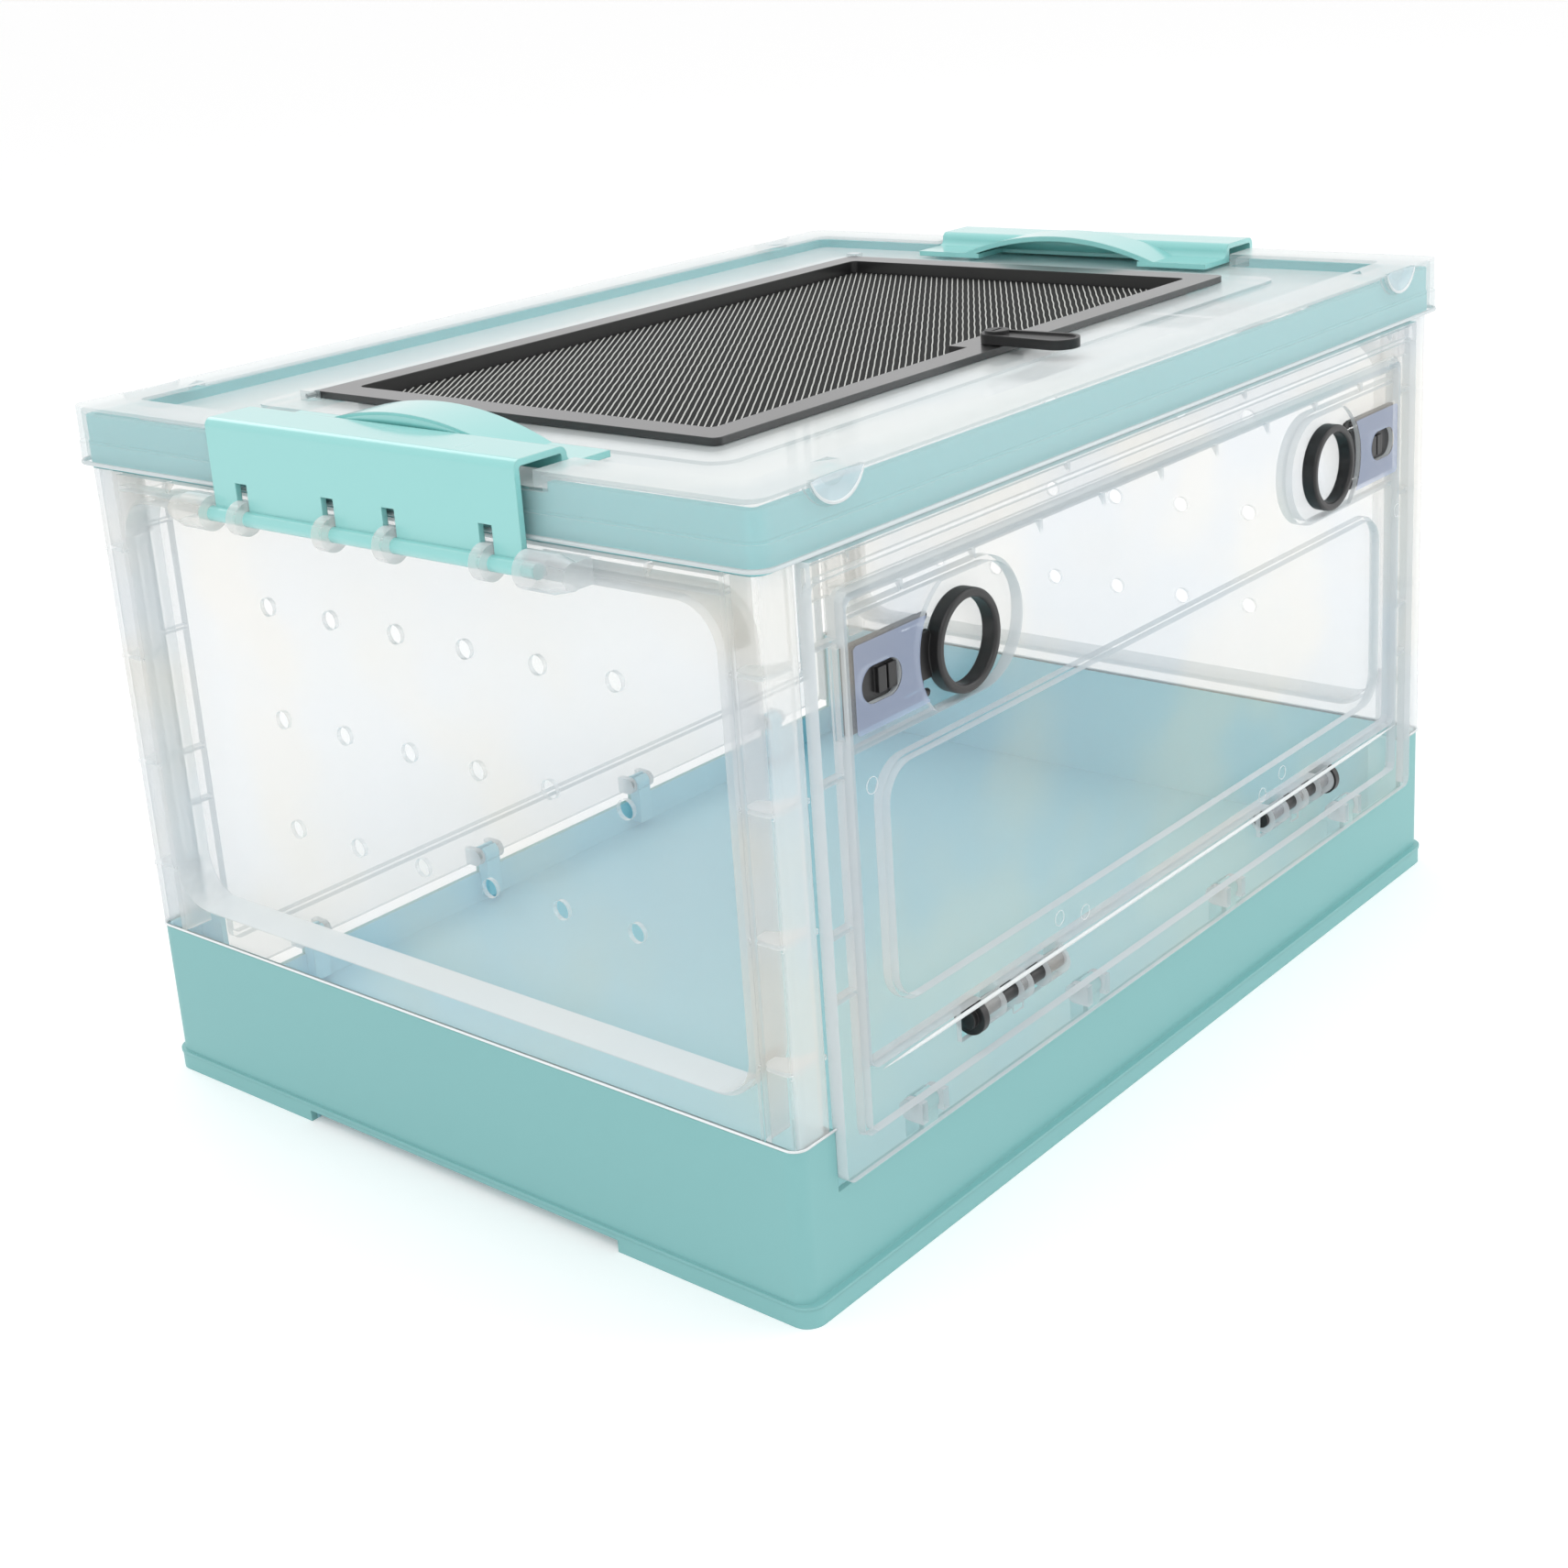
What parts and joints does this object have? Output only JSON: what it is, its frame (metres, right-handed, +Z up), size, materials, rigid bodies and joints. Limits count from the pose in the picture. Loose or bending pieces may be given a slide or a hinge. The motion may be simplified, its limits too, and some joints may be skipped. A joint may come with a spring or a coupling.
{
  "type": "folding pet keeper",
  "caption": "Folding clear plastic pet keeper with a teal tray, vented walls, a drop-down door with ring bolts, swing latches and a mesh window in the lid.",
  "frame": {"origin": "middle of the footprint, at the level the keeper stands on", "axes": "+Z up, +X along the long side, the drop-down door faces -Y"},
  "size_m": [0.4666, 0.3344, 0.2775],
  "materials": {
    "base_teal": "fine satin moulded polypropylene",
    "frame_teal": "satin moulded polypropylene",
    "latch_teal": "semi gloss moulded plastic",
    "clear_wall": "clear, faintly milky moulded plastic",
    "clear_door": "clear, faintly milky moulded plastic",
    "clear_lid": "clear plastic with a frosted rim",
    "black_plastic": "satin black moulded plastic",
    "window_black": "semi gloss black moulded plastic",
    "catch_black": "satin black moulded plastic",
    "window_mesh": "fine ribbed black mesh",
    "foot_rubber": "matte rubber"
  },
  "bodies": {
    "tray": {"base_tray": "base_teal", "foot_pad_front_left": "foot_rubber", "foot_pad_front_right": "foot_rubber", "foot_pad_back_left": "foot_rubber", "foot_pad_back_right": "foot_rubber", "left_panel": "clear_wall", "right_panel": "clear_wall"},
    "front_wall": {"front_panel": "clear_wall", "door_pin_left": "black_plastic", "door_pin_right": "black_plastic"},
    "back_wall": {"back_panel": "clear_wall"},
    "door": {"front_door": "clear_door"},
    "bolt_left": {"ring_bolt_left": "black_plastic"},
    "bolt_right": {"ring_bolt_right": "black_plastic"},
    "lid": {"lid": "clear_lid", "top_frame": "frame_teal"},
    "latch_left": {"latch_left": "latch_teal"},
    "latch_right": {"latch_right": "latch_teal"},
    "window": {"window_frame": "window_black", "window_mesh": "window_mesh"},
    "catch": {"window_catch": "catch_black", "catch_tongue": "catch_black"}
  },
  "joints": [
    {"name": "lid_lift", "type": "slide", "parent": "tray", "child": "lid", "axis": [0, 0, 1], "range_m": [0, 0.0366]},
    {"name": "latch_left_swing", "type": "hinge", "parent": "tray", "child": "latch_left", "pos_m": [-0.227, 0, 0.2405], "axis": [0, -1, 0], "range_deg": [0, 150]},
    {"name": "latch_right_swing", "type": "hinge", "parent": "tray", "child": "latch_right", "pos_m": [0.227, 0, 0.2405], "axis": [0, 1, 0], "range_deg": [0, 150]},
    {"name": "front_wall_fold", "type": "hinge", "parent": "tray", "child": "front_wall", "pos_m": [0, -0.158, 0.048], "axis": [-1, 0, 0], "range_deg": [0, 90]},
    {"name": "back_wall_fold", "type": "hinge", "parent": "tray", "child": "back_wall", "pos_m": [0, 0.158, 0.031], "axis": [1, 0, 0], "range_deg": [0, 90]},
    {"name": "door_swing", "type": "hinge", "parent": "front_wall", "child": "door", "pos_m": [0, -0.162, 0.07], "axis": [1, 0, 0], "range_deg": [0, 112]},
    {"name": "bolt_left_slide", "type": "slide", "parent": "door", "child": "bolt_left", "axis": [-1, 0, 0], "range_m": [0, 0.0075]},
    {"name": "bolt_right_slide", "type": "slide", "parent": "door", "child": "bolt_right", "axis": [1, 0, 0], "range_m": [0, 0.0075]},
    {"name": "window_swing", "type": "hinge", "parent": "lid", "child": "window", "pos_m": [0, 0.0972, 0.2674], "axis": [-1, 0, 0], "range_deg": [0, 110]},
    {"name": "catch_turn", "type": "hinge", "parent": "window", "child": "catch", "pos_m": [0.004, -0.09245, 0.2676], "axis": [0, 0, -1], "range_deg": [0, 90]}
  ],
  "couplings": [
    {"joint": "latch_left_swing", "follows": "lid_lift", "rad_per_m": 71.4},
    {"joint": "latch_right_swing", "follows": "lid_lift", "rad_per_m": 71.4}
  ]
}
